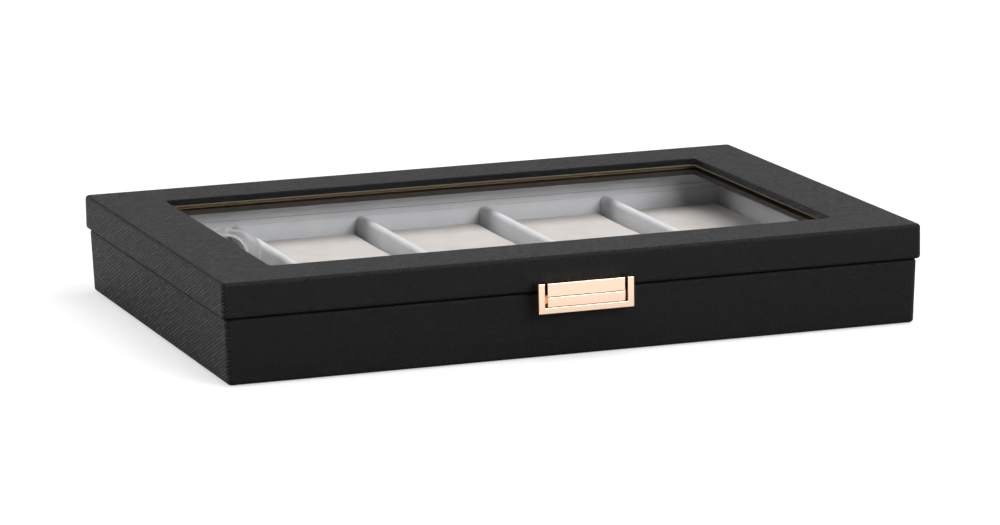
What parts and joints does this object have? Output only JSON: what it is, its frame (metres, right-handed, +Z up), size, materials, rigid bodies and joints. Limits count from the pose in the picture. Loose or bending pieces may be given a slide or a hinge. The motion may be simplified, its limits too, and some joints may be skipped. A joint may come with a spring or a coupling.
{
  "type": "watch box",
  "caption": "Slim rectangular watch box: leatherette-wrapped base and hinged glass-window lid, suede-lined cells with watch pads, and a push-button latch.",
  "frame": {"origin": "middle of the felt face that the box stands on", "axes": "+X to the right along the front, +Y from the front to the hinged back, +Z up"},
  "size_m": [0.36, 0.2623, 0.0506],
  "materials": {
    "leatherette": "fine cross-hatched grain, satin",
    "board": "raw fibreboard",
    "hardboard": "raw hardboard",
    "suede_grey": "short brushed pile",
    "pad_suede": "short brushed pile",
    "felt": "pressed felt",
    "glass": "clear float glass",
    "glazing_tape": "matt foam tape",
    "retainer": "satin",
    "rose_gold": "polished plating",
    "hinge_brass": "satin plating",
    "steel": "zinc plated",
    "clear_plastic": "clear polished"
  },
  "bodies": {
    "base": {"base_front_board": "board", "base_back_board": "board", "base_left_board": "board", "base_right_board": "board", "base_floor_board": "hardboard", "base_wrap": "leatherette", "base_felt": "felt", "base_wall_liner": "suede_grey", "insert_floor": "suede_grey", "insert_rim": "suede_grey", "cross_divider": "suede_grey", "divider_1": "suede_grey", "divider_2": "suede_grey", "divider_3": "suede_grey", "divider_4": "suede_grey", "pad_1_back": "pad_suede", "latch_frame": "rose_gold", "hinge_left_base_leaf": "hinge_brass", "hinge_right_base_leaf": "hinge_brass", "hinge_left_pin": "hinge_brass", "hinge_right_pin": "hinge_brass", "latch_springs": "steel", "latch_screws": "steel", "hinge_base_screws": "steel", "display_ring": "clear_plastic"},
    "lid": {"lid_front_board": "board", "lid_back_board": "board", "lid_left_board": "board", "lid_right_board": "board", "lid_top_front_board": "board", "lid_top_back_board": "board", "lid_top_left_board": "board", "lid_top_right_board": "board", "lid_wrap": "leatherette", "lid_wall_liner": "suede_grey", "lid_top_liner": "suede_grey", "glass_pane": "glass", "glazing_tape": "glazing_tape", "glass_retainer": "retainer", "latch_catch": "rose_gold", "catch_screws": "steel", "hinge_left_lid_leaf": "hinge_brass", "hinge_right_lid_leaf": "hinge_brass", "hinge_lid_screws": "steel"},
    "latch_button": {"latch_button": "rose_gold"},
    "pad_1_front": {"pad_1_front": "pad_suede"},
    "pad_2_back": {"pad_2_back": "pad_suede"},
    "pad_2_front": {"pad_2_front": "pad_suede"},
    "pad_3_back": {"pad_3_back": "pad_suede"},
    "pad_3_front": {"pad_3_front": "pad_suede"},
    "pad_4_back": {"pad_4_back": "pad_suede"},
    "pad_4_front": {"pad_4_front": "pad_suede"},
    "pad_5_back": {"pad_5_back": "pad_suede"},
    "pad_5_front": {"pad_5_front": "pad_suede"}
  },
  "joints": [
    {"name": "lid_hinge", "type": "hinge", "parent": "base", "child": "lid", "pos_m": [0, 0.1266, 0.0331], "axis": [-1, 0, 0], "range_deg": [0, 95]},
    {"name": "latch_press", "type": "slide", "parent": "base", "child": "latch_button", "axis": [0, 1, 0], "range_m": [0, 0.0015], "stiffness_N_per_m": 1200, "springref_m": -0.001, "deforming": ["latch_springs"]},
    {"name": "pad_1_front_lift", "type": "slide", "parent": "base", "child": "pad_1_front", "axis": [0, 0, 1], "range_m": [0, 0.018]},
    {"name": "pad_2_back_lift", "type": "slide", "parent": "base", "child": "pad_2_back", "axis": [0, 0, 1], "range_m": [0, 0.018]},
    {"name": "pad_2_front_lift", "type": "slide", "parent": "base", "child": "pad_2_front", "axis": [0, 0, 1], "range_m": [0, 0.018]},
    {"name": "pad_3_back_lift", "type": "slide", "parent": "base", "child": "pad_3_back", "axis": [0, 0, 1], "range_m": [0, 0.018]},
    {"name": "pad_3_front_lift", "type": "slide", "parent": "base", "child": "pad_3_front", "axis": [0, 0, 1], "range_m": [0, 0.018]},
    {"name": "pad_4_back_lift", "type": "slide", "parent": "base", "child": "pad_4_back", "axis": [0, 0, 1], "range_m": [0, 0.018]},
    {"name": "pad_4_front_lift", "type": "slide", "parent": "base", "child": "pad_4_front", "axis": [0, 0, 1], "range_m": [0, 0.018]},
    {"name": "pad_5_back_lift", "type": "slide", "parent": "base", "child": "pad_5_back", "axis": [0, 0, 1], "range_m": [0, 0.018]},
    {"name": "pad_5_front_lift", "type": "slide", "parent": "base", "child": "pad_5_front", "axis": [0, 0, 1], "range_m": [0, 0.018]}
  ]
}
